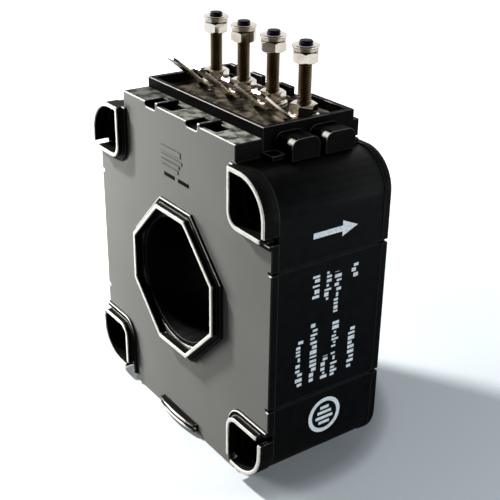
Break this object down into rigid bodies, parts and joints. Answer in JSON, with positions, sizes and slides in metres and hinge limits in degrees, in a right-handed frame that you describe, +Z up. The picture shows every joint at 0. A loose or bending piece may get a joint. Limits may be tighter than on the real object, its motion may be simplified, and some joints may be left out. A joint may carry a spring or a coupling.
{
  "type": "hall effect current sensor",
  "caption": "Square moulded current sensor with a round primary aperture, corner screw wells and a terminal tray with threaded studs and blade tabs.",
  "frame": {"origin": "middle of the object's footprint, on the surface that the foot stands on", "axes": "+X to the right along the width, seen from the front; +Y from the front cover into the depth; +Z up, towards the terminal studs"},
  "size_m": [0.096, 0.0454, 0.1267],
  "materials": {
    "cover_plastic": "satin moulded, fine texture",
    "case_plastic": "fine textured black",
    "tray_plastic": "satin black",
    "sleeve_plastic": "satin black",
    "core_steel": "wound strip",
    "former_plastic": "natural moulding",
    "copper": "enamelled copper wire",
    "chip": "moulded epoxy",
    "board": "solder resist",
    "capacitor_sleeve": "shrink sleeve",
    "nickel": "bright nickel plated steel",
    "spring_steel": "plated spring steel",
    "tinned_metal": "tinned brass"
  },
  "bodies": {
    "root": {"front_cover": "cover_plastic", "case": "case_plastic", "rear_cover": "case_plastic", "primary_sleeve": "sleeve_plastic", "magnetic_core": "core_steel", "winding_former": "former_plastic", "secondary_winding": "copper", "hall_element": "chip", "hall_carrier": "board", "circuit_board": "board", "power_transistors": "chip", "capacitors": "capacitor_sleeve", "stud_leads": "tinned_metal", "terminal_tray": "tray_plastic", "terminal_stud_1": "nickel", "terminal_stud_2": "nickel", "terminal_stud_3": "nickel", "terminal_stud_4": "nickel", "blade_tab_1": "tinned_metal", "blade_tab_2": "tinned_metal", "blade_tab_3": "tinned_metal", "blade_tab_4": "tinned_metal", "base_washers": "nickel", "base_nuts": "nickel", "upper_nuts": "nickel", "spring_washers": "spring_steel", "upper_washers": "nickel"}
  },
  "joints": []
}
